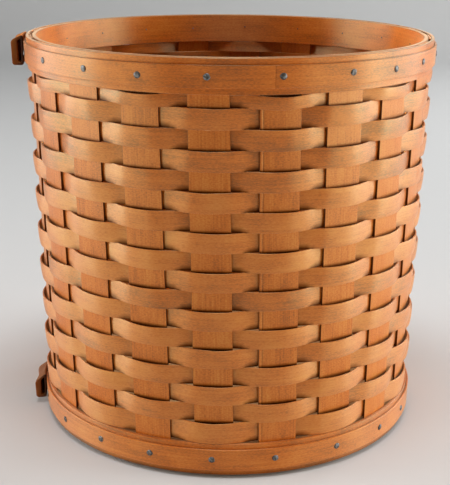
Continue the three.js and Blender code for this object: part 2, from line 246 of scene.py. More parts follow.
def straight_splint(length, thickness, width, steps, across, rounding):
    """A straight splint along X, its outer face towards +Y, with rounded long edges."""
    splint = bmesh.new()
    bmesh.ops.create_cube(splint, size=1)
    bmesh.ops.scale(splint, vec=(length, thickness, width), verts=splint.verts)
    for axis, parts in ((0, steps), (2, across)):
        edges = [edge for edge in splint.edges if runs_along(edge, axis)]
        bmesh.ops.subdivide_edges(splint, edges=edges, cuts=parts - 1, use_grid_fill=True)
    corners = [edge for edge in splint.edges if runs_along(edge, 0) and is_corner(edge)]
    round_off(splint, corners, rounding, 2)
    return splint


def cut_across(splint, axis, place):
    """Adds a row of edges across a splint at one place along an axis."""
    normal = Vector((0, 0, 0))
    normal[axis] = 1
    geom = splint.verts[:] + splint.edges[:] + splint.faces[:]
    bmesh.ops.bisect_plane(splint, geom=geom, plane_co=normal * place, plane_no=normal)


# Splints are cut from places up to this many metres apart, so that none shows another's grain
WOOD_REACH = 9


def lay_grain(splint, name):
    """Gives a straight splint its grain coordinates in metres and its tone, and returns its layer of
    painted shade.
    """
    chance = random.Random(name)
    shift = (chance.uniform(0, WOOD_REACH), chance.uniform(0, WOOD_REACH))
    grain = splint.loops.layers.uv.new("grain")
    tone = splint.verts.layers.float.new("tone")
    own_tone = chance.uniform(-1, 1)
    for vert in splint.verts:
        vert[tone] = own_tone
        along, depth, across = vert.co
        for loop in vert.link_loops:
            loop[grain].uv = (along + shift[0], across + depth + shift[1])
    return splint.verts.layers.float.new("painted_shade")


def add_object(name, shape, finish):
    """Makes a smooth object of a mesh, with one finish."""
    bmesh.ops.recalc_face_normals(shape, faces=shape.faces)
    mesh = bpy.data.meshes.new(name)
    shape.to_mesh(mesh)
    shape.free()
    mesh.shade_smooth()
    mesh.materials.append(finish)
    body = bpy.data.objects.new(name, mesh)
    bpy.context.scene.collection.objects.link(body)
    return body


def add_piece(name, shape, finish, nodes):
    """Makes a finished mesh a piece of the basket, in place of its CAD nodes."""
    body = add_object(name, shape, finish)
    even = body.modifiers.new("even_normals", "WEIGHTED_NORMAL")
    even.keep_sharp = True
    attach(body, "root")
    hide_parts(*nodes)


def add_node(tree, kind, inputs=None, stops=(), **settings):
    """Adds a node with its settings, the stops of its ramp, and links or values for its inputs."""
    node = tree.nodes.new(kind)
    for name, value in settings.items():
        setattr(node, name, value)
    for number, (position, colour) in enumerate(stops):
        elements = node.color_ramp.elements
        stop = elements[number] if number < 2 else elements.new(position)
        stop.position = position
        stop.color = colour
    for socket, value in (inputs or {}).items():
        if isinstance(value, bpy.types.NodeSocket):
            tree.links.new(value, node.inputs[socket])
        else:
            node.inputs[socket].default_value = value
    return node


def make_finish(name, build, **marks):
    """A material whose shader inputs come from a function, or the one that was made before."""
    finish = bpy.data.materials.get(name)
    if finish:
        return finish
    finish = bpy.data.materials.new(name)
    finish.use_nodes = True
    tree = finish.node_tree
    tree.nodes.clear()
    inputs = build(tree, bpy.context.scene.basket_finishes, **marks)
    shader = add_node(tree, "ShaderNodeBsdfPrincipled", inputs)
    add_node(tree, "ShaderNodeOutputMaterial", {"Surface": shader.outputs[0]})
    return finish


def grain_mark(tree, place, size, detail, roughness, dimensions):
    """Noise whose marks have a real size in millimetres along and across the grain."""
    along, across = size
    scale = (1 / (along * MILLIMETRE), 1 / (across * MILLIMETRE), 1)
    mapped = add_node(tree, "ShaderNodeMapping", {"Vector": place, "Scale": scale})
    inputs = {"Vector": mapped.outputs[0], "Scale": 1, "Detail": detail, "Roughness": roughness}
    return add_node(tree, "ShaderNodeTexNoise", inputs, noise_dimensions=dimensions).outputs["Fac"]


# Length of the streaks in maple and size of its clouds in millimetres, and share of the flecks
STREAK_LENGTH = 70
CLOUD_SIZE = (34, 14)
FLECK_SHARE = 0.4
# How the splints differ: streak width and fleck size in millimetres, shares of the streaks and of the own
# tone, lift to the pale side, gloss, and stretch of the shine across the fibres
# On the uprights the lift is painted light, for the light that their recessed faces miss
UPRIGHT_MARKS = dict(
    streak_width=1.1, streak_share=0.3, fleck=(0.8, 1.6), tone_share=0.05,
    lift=0.035, gloss=0.6, stretch=0,
)
WEAVER_MARKS = dict(
    streak_width=1.4, streak_share=0.25, fleck=(2.2, 0.6), tone_share=0.06,
    lift=0, gloss=1, stretch=0.9,
)
BAND_MARKS = dict(
    streak_width=1.6, streak_share=0.27, fleck=(2.2, 0.6), tone_share=0.04,
    lift=-0.02, gloss=0.75, stretch=0.9,
)


# Maple splint, sliced thin and varnished satin: faint long streaks, short flecks and soft clouds of colour,
# under a pale shine that spreads across the fibres. Places with painted shade are darkened and lose the
# shine.
def maple_splint(tree, colours, streak_width, streak_share, fleck, tone_share, lift, gloss, stretch):
    grain = add_node(tree, "ShaderNodeUVMap", uv_map="grain").outputs["UV"]
    # Size, detail and share of each mark
    sizes = {
        "streaks": ((STREAK_LENGTH, streak_width), 3, streak_share),
        "flecks": (fleck, 2, FLECK_SHARE),
        "clouds": (CLOUD_SIZE, 2, 1 - streak_share - FLECK_SHARE),
    }
    marks = {}
    figure = lift
    for mark, (size, detail, share) in sizes.items():
        marks[mark] = grain_mark(tree, grain, size, detail, roughness=0.7, dimensions="2D")
        inputs = {0: marks[mark], 1: share, 2: figure}
        figure = add_node(tree, "ShaderNodeMath", inputs, operation="MULTIPLY_ADD").outputs[0]
    tone = add_node(tree, "ShaderNodeAttribute", attribute_name="tone").outputs["Fac"]
    inputs = {0: tone, 1: tone_share, 2: figure}
    toned = add_node(tree, "ShaderNodeMath", inputs, operation="MULTIPLY_ADD").outputs[0]
    stops = ((0.33, colours.splint_dark), (0.67, colours.splint_pale), (0.5, colours.splint_honey))
    ramp = add_node(tree, "ShaderNodeValToRGB", {"Fac": toned}, stops)
    # The painted shade layer darkens the colour and takes away the shine
    painted_shade = add_node(tree, "ShaderNodeAttribute", attribute_name="painted_shade").outputs["Fac"]
    share = add_node(tree, "ShaderNodeMapRange", {"Value": painted_shade, "To Max": 0.96})
    inputs = {"Factor": share.outputs[0], 6: ramp.outputs[0], 7: colours.splint_slot}
    painted_shaded = add_node(tree, "ShaderNodeMix", inputs, data_type="RGBA")
    rough = add_node(
        tree, "ShaderNodeMapRange", {"Value": marks["flecks"], "To Min": 0.46, "To Max": 0.38}
    )
    bump = add_node(
        tree, "ShaderNodeBump", {"Height": figure, "Strength": 0.3, "Distance": 0.25 * MILLIMETRE}
    )
    shine = add_node(tree, "ShaderNodeMapRange", {"Value": painted_shade, "To Min": gloss, "To Max": 0})
    fibres = add_node(tree, "ShaderNodeTangent", direction_type="UV_MAP", uv_map="grain")
    return {
        "Base Color": painted_shaded.outputs[2],
        "Roughness": rough.outputs[0],
        "IOR": 1.66,
        "Specular IOR Level": shine.outputs[0],
        "Specular Tint": linear_from_hex("FBFFC6"),
        "Anisotropic": stretch,
        "Anisotropic Rotation": 0.25,
        "Tangent": fibres.outputs[0],
        "Sheen Weight": 0.5,
        "Sheen Roughness": 0.33,
        "Sheen Tint": linear_from_hex("FFF2C8"),
        "Normal": bump.outputs[0],
    }


# Length and width of the board's growth lines and of its pores in millimetres, and share of the pores
LINE_SIZE = (160, 5)
PORE_SIZE = (30, 1.2)
PORE_SHARE = 0.35


# Sanded pale board with a thin varnish: straight lines of growth along X and a dull face.
def sanded_board(tree, colours):
    place = add_node(tree, "ShaderNodeTexCoord").outputs["Object"]
    lines = grain_mark(tree, place, LINE_SIZE, 3, roughness=0.6, dimensions="3D")
    pores = grain_mark(tree, place, PORE_SIZE, 3, roughness=0.6, dimensions="3D")
    inputs = {0: pores, 1: PORE_SHARE, 2: lines}
    figure = add_node(tree, "ShaderNodeMath", inputs, operation="MULTIPLY_ADD").outputs[0]
    stops = ((0.45, colours.board_dark), (0.85, colours.board_pale))
    ramp = add_node(tree, "ShaderNodeValToRGB", {"Fac": figure}, stops)
    bump = add_node(
        tree, "ShaderNodeBump", {"Height": figure, "Strength": 0.3, "Distance": 0.2 * MILLIMETRE}
    )
    return {"Base Color": ramp.outputs[0], "Roughness": 0.55, "IOR": 1.5, "Normal": bump.outputs[0]}


# Brown vegetable-tanned leather: fine pebbled grain, cloudy colour, burnished edges that painted shade
# darkens towards the wall, a soft shine.
def tanned_leather(tree, colours):
    place = add_node(tree, "ShaderNodeTexCoord").outputs["Object"]
    pebble_size = 0.9 * MILLIMETRE
    cloud_size = 7 * MILLIMETRE
    pebbles = add_node(
        tree, "ShaderNodeTexVoronoi", {"Vector": place, "Scale": 1 / pebble_size}, feature="SMOOTH_F1"
    )
    clouds = add_node(tree, "ShaderNodeTexNoise", {"Vector": place, "Scale": 1 / cloud_size, "Detail": 3})
    stops = ((0.35, colours.leather), (0.8, colours.leather_worn))
    ramp = add_node(tree, "ShaderNodeValToRGB", {"Fac": clouds.outputs["Fac"]}, stops)
    edge = add_node(tree, "ShaderNodeAttribute", attribute_name="edge").outputs["Fac"]
    inputs = {"Factor": edge, 6: ramp.outputs[0], 7: colours.leather_burnish_and_shade}
    burnished = add_node(tree, "ShaderNodeMix", inputs, data_type="RGBA")
    inputs = {"Height": pebbles.outputs["Distance"], "Strength": 0.4, "Distance": 0.15 * MILLIMETRE}
    bump = add_node(tree, "ShaderNodeBump", inputs)
    return {
        "Base Color": burnished.outputs[2],
        "Roughness": 0.55,
        "IOR": 1.48,
        "Specular IOR Level": 0.25,
        "Normal": bump.outputs[0],
    }


# Bare dull steel: grey metal with darker tarnish in small spots.
def dull_steel(tree, colours):
    place = add_node(tree, "ShaderNodeTexCoord").outputs["Object"]
    spot_size = 1.6 * MILLIMETRE
    spots = add_node(tree, "ShaderNodeTexNoise", {"Vector": place, "Scale": 1 / spot_size, "Detail": 3})
    stops = ((0.4, colours.steel_stain), (0.62, colours.steel))
    ramp = add_node(tree, "ShaderNodeValToRGB", {"Fac": spots.outputs["Fac"]}, stops)
    rough = add_node(
        tree, "ShaderNodeMapRange", {"Value": spots.outputs["Fac"], "To Min": 0.7, "To Max": 0.5}
    )
    return {"Base Color": ramp.outputs[0], "Metallic": 1, "Roughness": rough.outputs[0]}


# Pale matt paper in one even colour.
def matt_paper(tree, colours):
    return {"Base Color": colours.floor, "Roughness": 0.9}


def weaver_rows():
    """Bottom and top of each row, from the rim down."""
    scene = bpy.context.scene
    sizes = scene.basket_weavers
    bands = scene.basket_bands
    rim_bottom = scene.basket_wall.height - bands.rim_height
    rows = []
    bottom = bands.base_height + sizes.gap
    width = sizes.bottom_width
    while bottom + width + sizes.gap <= rim_bottom:
        rows.append((bottom, bottom + width))
        bottom += width + sizes.gap
        width = sizes.width
    top = rim_bottom - sizes.gap
    if top - bottom >= sizes.least_top_width:
        rows.append((bottom, top))
    return rows[::-1]


# Divisions of a splint along and across, and rounding of its long edges. Those along a weaver are for each
# upright that it passes.
UPRIGHT_MESH = (300, 8, 0.25 * MILLIMETRE)
WEAVER_MESH = (14, 4, 0.22 * MILLIMETRE)
BAND_MESH = (220, 6, 0.35 * MILLIMETRE)
# How far the long edges of the splints waver
UPRIGHT_WAVER = 0.3 * MILLIMETRE
WEAVER_WAVER = 0.25 * MILLIMETRE
BAND_WAVER = 0.15 * MILLIMETRE
# How near its edge a vertex counts as part of the edge of a splint
EDGE_REACH = 0.2 * MILLIMETRE
# Lengthwise splits in uprights: distance from the left edge in millimetres, and from what share of the
# length up they run.
UPRIGHT_SPLITS = {1: ((2.1, 0.05),), 14: ((18, 0.55),), 8: ((21.5, 0.3),)}
SPLIT_WIDTH = 0.5 * MILLIMETRE
SPLIT_DEPTH = 0.6 * MILLIMETRE
# Rise over which the painted shade of a slot fades out on an upright above a weaver, and on a weaver from
# its foot
UPRIGHT_FADE = 1.5 * MILLIMETRE
WEAVER_FADE = 4.2 * MILLIMETRE
# How far painted shade darkens the inside of the weave and the long edges of an upright
INSIDE_SHADE = 0.25
UPRIGHT_EDGE_SHADE = 0.85
# How much weaker the painted shade of the slots is at the two sides of the basket, where the side lamps
# shine into them, than at its front and back
SIDE_SHADE_FADE = 0.75


def slot_shade_share(angle):
    """Strength of the painted shade in the slots at a place round the wall."""
    return 1 - SIDE_SHADE_FADE * sin(angle) ** 2


class BASKET_OT_uprights(Operator):
    """Stands the uprights in their ring"""

    bl_idname = "basket.uprights"
    bl_label = "Uprights"

    def upright(self, index):
        scene = bpy.context.scene
        wall = scene.basket_wall
        sizes = scene.basket_uprights
        name = f"standing_splint_{index + 1:02d}"
        bottom = sizes.foot_inset
        length = wall.height - sizes.top_inset - bottom
        thickness = sizes.thickness
        splint = straight_splint(length, thickness, sizes.width, *UPRIGHT_MESH)
        for from_edge, start in UPRIGHT_SPLITS.get(index, ()):
            place = from_edge * MILLIMETRE - sizes.width / 2
            for side in (-SPLIT_WIDTH / 2, 0, SPLIT_WIDTH / 2):
                cut_across(splint, 2, place + side)
            for vert in splint.verts:
                in_split = abs(vert.co.z - place) < TOLERANCE and vert.co.x > (start - 0.5) * length
                if in_split and vert.co.y > 0:
                    vert.co.y -= SPLIT_DEPTH
        painted_shade = lay_grain(splint, name)
        row_width = scene.basket_weavers.width
        slots = [top for row, (_, top) in enumerate(weaver_rows(), 1) if (index - row) % 2 == 0]
        for vert in splint.verts:
            along, depth, across = vert.co
            height = bottom + length / 2 + along
            middle = upright_angle(index, height)
            above = [height - slot for slot in slots if height > slot - row_width / 2]
            # Painted shade along the long edges, on the outer face just above each weaver, and all over the
            # inside
            if abs(across) > sizes.width / 2 - EDGE_REACH:
                vert[painted_shade] = UPRIGHT_EDGE_SHADE
            elif depth > 0:
                darkening = min(max(1 - min(above, default=height) / UPRIGHT_FADE, 0), 1)
                vert[painted_shade] = darkening * slot_shade_share(middle)
            else:
                vert[painted_shade] = INSIDE_SHADE
            radius = wall_radius(height)
            # Slow noise along the upright, different in each
            waver = noise.noise(Vector((height * 25, index * 3.7, across * 20)))
            angle = middle + (across + UPRIGHT_WAVER * waver) / radius
            vert.co = at_wall(radius - thickness / 2 + depth, angle, height)
        finish = make_finish("maple_upright_splint", maple_splint, **UPRIGHT_MARKS)
        add_piece(name, splint, finish, [f"upright_{index + 1:02d}"])

    def execute(self, context):
        for index in range(context.scene.basket_uprights.count):
            self.upright(index)
        return {"FINISHED"}


# How many times further than the others the top row sags
TOP_ROW_SAG = 3.2
# How square the wave of a weaver is: 0 is a plain sine
WAVE_FLATNESS = 0.35
# How much the depth of the wave varies, and the tilt of the face
LOOSENESS = 0.2
FACE_TILT = 0.4 * MILLIMETRE
# The line that a face leans about, from -1 at the lower edge to 1 at the upper
LEAN_LINE = -0.5
# Share of the sag that a weaver usually drops, and how much it varies
DROP_SHARE = 0.8
DROP_SPREAD = 0.6
# A weaver's wave is 1 outside an upright and -1 inside it, and the painted shade of a slot sets in between
# these
SLOT_START = 0.2
SLOT_END = -0.2


class BASKET_OT_weavers(Operator):
    """Weaves the rows round the uprights"""

    bl_idname = "basket.weavers"
    bl_label = "Weavers"

    def weaver(self, row, bottom, top):
        scene = bpy.context.scene
        clearance = scene.basket_wall.clearance
        uprights = scene.basket_uprights
        sizes = scene.basket_weavers
        name = f"woven_splint_{row:02d}"
        count = uprights.count
        first = sizes.lap_first + 2 * (row % sizes.lap_places) + row % 2
        last = first + sizes.lap_uprights
        passed = last + count - first
        width = top - bottom + sizes.swell
        middle = (bottom + top) / 2
        length = passed * tau / count * wall_radius(middle)
        touch = (uprights.thickness + sizes.thickness) / 2 + clearance
        layer = sizes.thickness + clearance
        centre = -uprights.thickness / 2
        sag = sizes.sag * (TOP_ROW_SAG if row == 1 else 1)
        steps, columns, rounding = WEAVER_MESH
        splint = straight_splint(length, sizes.thickness, width, passed * steps, columns, rounding)
        for share in (1 / 3, 2 / 3, 1):
            cut_across(splint, 2, share * WEAVER_FADE - width / 2)
        painted_shade = lay_grain(splint, name)
        for vert in splint.verts:
            along, depth, across = vert.co
            upright = first + passed * (along / length + 0.5)
            round_place = upright % count
            # Slow wander round the basket, different in each row
            loose = noise.noise(Vector((round_place * 0.8, row * 5.3, 1.7)))
            tilt = noise.noise(Vector((round_place * 0.6, row * 3.1, 8.2)))
            edge_waver = noise.noise(Vector((round_place * 2.2, row * 4.7, across * 90)))
            out = cos(pi * (upright - row))
            share = 2 * across / width
            recessed = min(max((SLOT_START - out) / (SLOT_START - SLOT_END), 0), 1)
            angle = upright_angle(upright, middle)
            # Painted shade all over the inside, and on the outer face from the foot of a weaver where it
            # comes out from behind an upright
            if depth < 0:
                vert[painted_shade] = INSIDE_SHADE
            elif recessed > 0:
                darkening = max(1 - (across + width / 2) / (recessed * WEAVER_FADE), 0)
                vert[painted_shade] = darkening * slot_shade_share(angle)
            reach = touch + sizes.hollow + (sizes.bulge - sizes.hollow) * (1 + out) / 2
            swing = reach * (1 + LOOSENESS * loose) * out * (1 + WAVE_FLATNESS * (1 - out * out))
            lean = sizes.top_lean * max(out, 0) + FACE_TILT * tilt * out * out
            swing += sizes.cup * (1 - share * share) + lean * (share - LEAN_LINE) / (1 - LEAN_LINE)
            if upright < last + 1:
                swing -= layer * (1 - out) / 2
            if upright > first + count - 1:
                swing += layer * (1 + out) / 2
            drop = sag * (DROP_SHARE + DROP_SPREAD * loose) * max(out, 0) ** 2
            height = middle + across - drop + WEAVER_WAVER * edge_waver * share * out * out
            vert.co = at_wall(wall_radius(height) + centre + swing + depth, angle, height)
        finish = make_finish("maple_weaver_splint", maple_splint, **WEAVER_MARKS)
        add_piece(name, splint, finish, [f"weaver_{row:02d}"])

    def execute(self, context):
        for row, (bottom, top) in enumerate(weaver_rows(), 1):
            self.weaver(row, bottom, top)
        return {"FINISHED"}


# How far the upper edges of the rim bands are darkened with painted shade
TOP_EDGE_SHADE = 0.4
# How far the foot of the base is darkened with painted shadow, and how high that reaches
FOOT_SHADOW = 0.6
FOOT_REACH = 0.5 * MILLIMETRE
# Radius in the noise of the ring that a band's waver is read on, and noise steps in a metre of height
WAVER_RING = 1.6
WAVER_RISE = 60


def overlay_spans():
    """Bottom and top of the narrow bands that are nailed over the rim and the base."""
    scene = bpy.context.scene
    sizes = scene.basket_bands
    rim_top = scene.basket_wall.height - sizes.rim_overlay_inset
    base_bottom = sizes.base_overlay_inset
    return {
        "rim": (rim_top - sizes.rim_overlay_height, rim_top),
        "base": (base_bottom, base_bottom + sizes.base_overlay_height),
    }


def overlay_face():
    """How far the outer face of an overlay stands off the uprights."""
    scene = bpy.context.scene
    sizes = scene.basket_bands
    return 2 * scene.basket_wall.clearance + sizes.outer_thickness + sizes.overlay_thickness


class BASKET_OT_bands(Operator):
    """Bends the bands of the rim and the base"""

    bl_idname = "basket.bands"
    bl_label = "Bands"

    def band(self, name, node, span, layer, end):
        bottom, top = span
        inner, thickness = layer
        scene = bpy.context.scene
        clearance = scene.basket_wall.clearance
        sizes = scene.basket_bands
        at_rim = bottom > sizes.base_height
        on_floor = bottom == 0
        scarf = sizes.scarf_turn
        tip = sizes.scarf_tip
        start = end - scarf
        sweep = tau + scarf
        middle = (bottom + top) / 2
        half = (top - bottom) / 2
        radius = wall_radius(middle)
        length = sweep * radius
        gap = sizes.scarf_gap / radius
        splint = straight_splint(length, thickness, 2 * half, *BAND_MESH)
        for turn in (scarf, scarf + gap, tau - gap, tau):
            cut_across(splint, 0, (turn / sweep - 0.5) * length)
        painted_shade = lay_grain(splint, name)

        def leaf(share):
            return tip + (thickness - clearance - 2 * tip) * share

        for vert in splint.verts:
            along, depth, across = vert.co
            turn = (along / length + 0.5) * sweep
            low, high = 0, thickness
            if turn <= scarf + gap / 2:
                high = leaf(min(turn / scarf, 1))
            elif turn >= tau - gap / 2:
                low = leaf(max(turn - tau, 0) / scarf) + clearance
            offset = inner + low + (high - low) * (depth / thickness + 0.5)
            angle = start + turn
            # Painted shade on the rim bands' upper edges, and painted shadow at the foot of the base
            if at_rim and across > half - EDGE_REACH:
                vert[painted_shade] = TOP_EDGE_SHADE
            elif on_floor and across < FOOT_REACH - half:
                vert[painted_shade] = FOOT_SHADOW
            ring = Vector((WAVER_RING * sin(angle), WAVER_RING * cos(angle), middle * WAVER_RISE))
            waver = BAND_WAVER * (1 + noise.noise(ring))
            height = middle + across - waver * across / half
            vert.co = at_wall(wall_radius(height) + offset, angle, height)
        finish = make_finish("maple_band", maple_splint, **BAND_MARKS)
        add_piece(name, splint, finish, [node])

    def execute(self, context):
        scene = context.scene
        wall = scene.basket_wall
        sizes = scene.basket_bands
        rim = (wall.height - sizes.rim_height, wall.height)
        base = (0, sizes.base_height)
        spans = overlay_spans()
        # Distance of the inner face from the uprights' outer face, and thickness
        inner_face = -scene.basket_uprights.thickness - wall.clearance - sizes.inner_thickness
        inner = (inner_face, sizes.inner_thickness)
        outer = (wall.clearance, sizes.outer_thickness)
        overlay = (2 * wall.clearance + sizes.outer_thickness, sizes.overlay_thickness)
        self.band("wide_rim_band", "rim_outer_band", rim, outer, sizes.rim_outer_end)
        self.band("nailed_rim_band", "rim_overlay_band", spans["rim"], overlay, sizes.rim_overlay_end)
        self.band("inside_rim_band", "rim_inner_band", rim, inner, sizes.rim_inner_end)
        self.band("wide_base_band", "base_outer_band", base, outer, sizes.base_outer_end)
        self.band("nailed_base_band", "base_overlay_band", spans["base"], overlay, sizes.base_overlay_end)
        return {"FINISHED"}


# How finely the round edge of the board is divided
BOARD_STEPS = 180


class BASKET_OT_bottom_board(Operator):
    """Fits the board into the bottom"""

    bl_idname = "basket.bottom_board"
    bl_label = "Bottom Board"

    def execute(self, context):
        scene = context.scene
        thickness = scene.basket_bottom.thickness
        inside = scene.basket_uprights.thickness + scene.basket_wall.clearance
        board = bmesh.new()
        bmesh.ops.create_cone(
            board,
            cap_ends=True,
            segments=BOARD_STEPS,
            radius1=wall_radius(0) - inside,
            radius2=wall_radius(thickness) - inside,
            depth=thickness,
        )
        bmesh.ops.translate(board, vec=(0, 0, thickness / 2), verts=board.verts)
        rims = [edge for edge in board.edges if is_corner(edge)]
        round_off(board, rims, scene.basket_bottom.rounding, 3)
        finish = make_finish("sanded_board", sanded_board)
        add_piece("round_board", board, finish, ["bottom_board"])
        return {"FINISHED"}


def outward_from(radius, angle, height):
    """Matrix for a shape made along +Z, which then points outwards from the wall."""
    out = at_wall(1, angle, 0)
    up = Vector((0, 0, 1))
    aside = up.cross(out)
    turn = Matrix((aside, up, out)).transposed().to_4x4()
    return Matrix.Translation(at_wall(radius, angle, height)) @ turn


# Outline of a nail's head from the top of its dome down, in shares of its radius and its height
HEAD_OUTLINE = ((0, 0.72), (0.5, 0.68), (0.82, 0.52), (0.97, 0.25), (1, 0.08), (0.96, -0.05), (0, -0.05))
HEAD_STEPS = 20
# How far the blows dent a head and put it out of round, and how close together they fall
DENT_SHARE = 0.2
SPREAD_SHARE = 0.25
BLOWS_IN_A_METRE = 700
# Half the diagonal of a shank at its point and under its head, as shares of its width
POINT_SHARE = 0.45
NECK_SHARE = 0.7
# The most that a nail leans, in radians
NAIL_LEAN = 0.06


def drive_nail(metal, head_radius, head_height, shank, length, place, chance):
    """Adds a domed head with a square pointed shank to a mesh, at a place."""
    before = set(metal.verts)

    def added():
        return [vert for vert in metal.verts if vert not in before]

    middle = (0, 0, 0)
    up = (0, 0, 1)
    line = [metal.verts.new((x * head_radius, 0, z * head_height)) for x, z in HEAD_OUTLINE]
    edges = [metal.edges.new(pair) for pair in zip(line, line[1:])]
    bmesh.ops.spin(
        metal, geom=line + edges, cent=middle, axis=up, angle=tau, steps=HEAD_STEPS, use_merge=True
    )
    bmesh.ops.remove_doubles(metal, verts=added(), dist=TOLERANCE)
    for vert in added():
        # Each nail is struck in another place
        struck = Vector((chance.uniform(0, 0.001), place.translation.x * 90, 0))
        blow = noise.noise(vert.co * BLOWS_IN_A_METRE + struck)
        vert.co.z -= DENT_SHARE * head_height * blow
        vert.co.x *= 1 + SPREAD_SHARE * blow
    point = POINT_SHARE * shank
    neck = NECK_SHARE * shank
    tail = bmesh.ops.create_cone(
        metal, cap_ends=True, segments=4, radius1=point, radius2=neck, depth=length
    )["verts"]
    bmesh.ops.rotate(metal, verts=tail, cent=middle, matrix=Matrix.Rotation(pi / 4, 3, "Z"))
    bmesh.ops.translate(metal, verts=tail, vec=(0, 0, -length / 2))
    lean = Matrix.Rotation(chance.uniform(-NAIL_LEAN, NAIL_LEAN), 4, "X")
    lean = lean @ Matrix.Rotation(chance.uniform(-NAIL_LEAN, NAIL_LEAN), 4, "Y")
    bmesh.ops.transform(metal, verts=added(), matrix=place @ lean)


# How far round the wall, in degrees, some nails of the rim stand from the middles of their uprights
RIM_NAIL_SHIFTS = {17: 3.1, 18: 3.2, 19: 1.4, 0: 0.3, 1: -0.4, 2: 0.9, 3: -3.2, 4: -5.6, 5: -6}
# The same for the nails of the base
BASE_NAIL_SHIFTS = {17: 0.8, 18: 1.5, 19: -0.9, 0: -1, 1: -1.7, 2: 0.7, 3: 0.2, 4: -2}
# The most that any nail strays from there, in degrees round the wall and in millimetres up or down
STRAY_TURN = 0.8
STRAY_RISE = 0.7


class BASKET_OT_nails(Operator):
    """Drives a nail through both overlay bands at each upright"""

    bl_idname = "basket.nails"
    bl_label = "Nails"

    def row(self, name, node, height, depth, shifts):
        scene = bpy.context.scene
        sizes = scene.basket_nails
        face = overlay_face()
        chance = random.Random(name)
        metal = bmesh.new()
        for index in range(scene.basket_uprights.count):
            shift = shifts.get(index, 0) + chance.uniform(-STRAY_TURN, STRAY_TURN)
            angle = upright_angle(index, height) + radians(shift)
            level = height + chance.uniform(-STRAY_RISE, STRAY_RISE) * MILLIMETRE
            place = outward_from(wall_radius(level) + face, angle, level)
            length = face + depth
            drive_nail(metal, sizes.head_radius, sizes.head_height, sizes.shank, length, place, chance)
        add_piece(name, metal, make_finish("dull_steel", dull_steel), [node])

    def execute(self, context):
        scene = context.scene
        heights = {side: (bottom + top) / 2 for side, (bottom, top) in overlay_spans().items()}
        inside = scene.basket_uprights.thickness + scene.basket_wall.clearance
        rim_depth = inside + scene.basket_bands.inner_thickness + scene.basket_nails.point
        base_depth = inside + scene.basket_nails.base_bite
        self.row("rim_nails", "rim_overlay_band", heights["rim"], rim_depth, RIM_NAIL_SHIFTS)
        self.row("base_nails", "bottom_board", heights["base"], base_depth, BASE_NAIL_SHIFTS)
        return {"FINISHED"}


def loop_places():
    """Name, bottom, height, drop of the top, radius of the back face and tack height of each loop."""
    scene = bpy.context.scene
    wall = scene.basket_wall
    loops = scene.basket_loops
    rim_bottom = wall.height - loops.rim_inset - loops.rim_height
    shapes = {
        "rim": (rim_bottom, loops.rim_height, loops.rim_drop),
        "base": (loops.base_inset, loops.base_height, loops.base_drop),
    }
    places = []
    for side, (bottom, top) in overlay_spans().items():
        face = wall_radius(top) + overlay_face() + wall.clearance
        places.append((side, *shapes[side], face, (bottom + top) / 2))
    return places


# Depth of a loop's foot as a share of its full depth, because the front slants
FOOT_DEPTH = 0.94
# Cuts across half a loop, so that it can bend, and the depth of its creases
HALF_LOOP_CUTS = 4
CREASE_DEPTH = 0.25 * MILLIMETRE
# How much paler a loop's edges are at its front than at the wall, where painted shade darkens them
EDGE_FADE = 0.6
# How far each loop is darkened all over towards the colour of its edges
LOOP_DARKENING = {"rim": 0, "base": 0.55}


